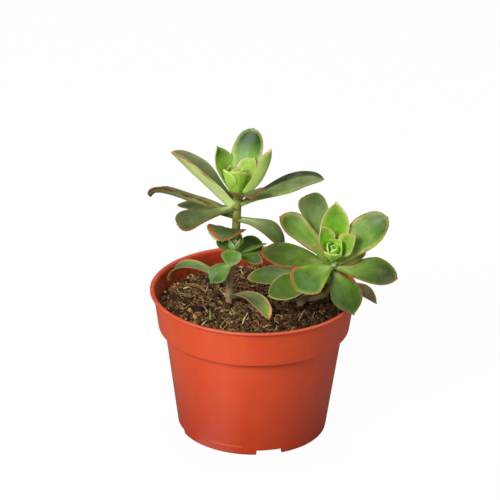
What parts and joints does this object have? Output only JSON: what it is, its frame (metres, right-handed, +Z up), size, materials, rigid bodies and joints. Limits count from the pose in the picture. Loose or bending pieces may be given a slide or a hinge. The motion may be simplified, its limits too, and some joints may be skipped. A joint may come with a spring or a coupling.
{
  "type": "potted aeonium",
  "caption": "Branching aeonium with open rosettes of fleshy spoon-shaped leaves, growing in potting mix in a round plastic nursery pot that stands on its foot.",
  "frame": {"origin": "centre of the pot's underside, on the surface that it stands on", "axes": "+Z up along the pot's axis; the picture's viewer looks along +Y, with +X to the right"},
  "size_m": [0.1288, 0.108, 0.1592],
  "materials": {
    "pot_plastic": "satin injection-moulded terracotta-coloured plastic",
    "potting_mix": "loose crumbly peat and fibre, moist",
    "stem_bark": "smooth green-brown skin with pale leaf scars",
    "leaf_outer": "waxy leaf with a grey bloom and a red margin",
    "leaf_inner": "young waxy leaf with a cream margin",
    "leaf_low": "older, duller leaf with a brown-red margin"
  },
  "bodies": {
    "root": {"ground_leaf_front": "leaf_low", "ground_leaf_left": "leaf_low", "offset_heart": "leaf_inner", "offset_leaf_back_left": "leaf_outer", "offset_leaf_back_right": "leaf_outer", "offset_leaf_front": "leaf_outer", "offset_leaf_front_right": "leaf_outer", "offset_leaf_low": "leaf_low", "offset_leaf_right": "leaf_outer", "pot": "pot_plastic", "potting_mix": "potting_mix", "side_heart": "leaf_inner", "side_leaf_back": "leaf_outer", "side_leaf_back_left": "leaf_outer", "side_leaf_back_low": "leaf_low", "side_leaf_front_inner": "leaf_inner", "side_leaf_front_left": "leaf_outer", "side_leaf_front_right": "leaf_outer", "side_leaf_left": "leaf_outer", "side_leaf_left_inner": "leaf_inner", "side_leaf_left_low": "leaf_low", "side_leaf_left_low_far": "leaf_low", "side_leaf_right": "leaf_outer", "side_leaf_right_back": "leaf_outer", "side_leaf_right_inner": "leaf_inner", "side_leaf_right_low": "leaf_low", "side_leaf_right_upper": "leaf_outer", "side_leaf_upper_left": "leaf_outer", "side_stem": "stem_bark", "tall_heart": "leaf_inner", "tall_leaf_back": "leaf_outer", "tall_leaf_back_left": "leaf_outer", "tall_leaf_back_low": "leaf_low", "tall_leaf_back_right": "leaf_outer", "tall_leaf_front": "leaf_outer", "tall_leaf_front_inner": "leaf_inner", "tall_leaf_front_low": "leaf_low", "tall_leaf_left_back_low": "leaf_low", "tall_leaf_left_front": "leaf_outer", "tall_leaf_left_high": "leaf_outer", "tall_leaf_left_long": "leaf_outer", "tall_leaf_left_low": "leaf_low", "tall_leaf_left_upright": "leaf_inner", "tall_leaf_right_long": "leaf_outer", "tall_leaf_right_low": "leaf_low", "tall_leaf_right_upright": "leaf_inner", "tall_stem": "stem_bark"}
  },
  "joints": []
}
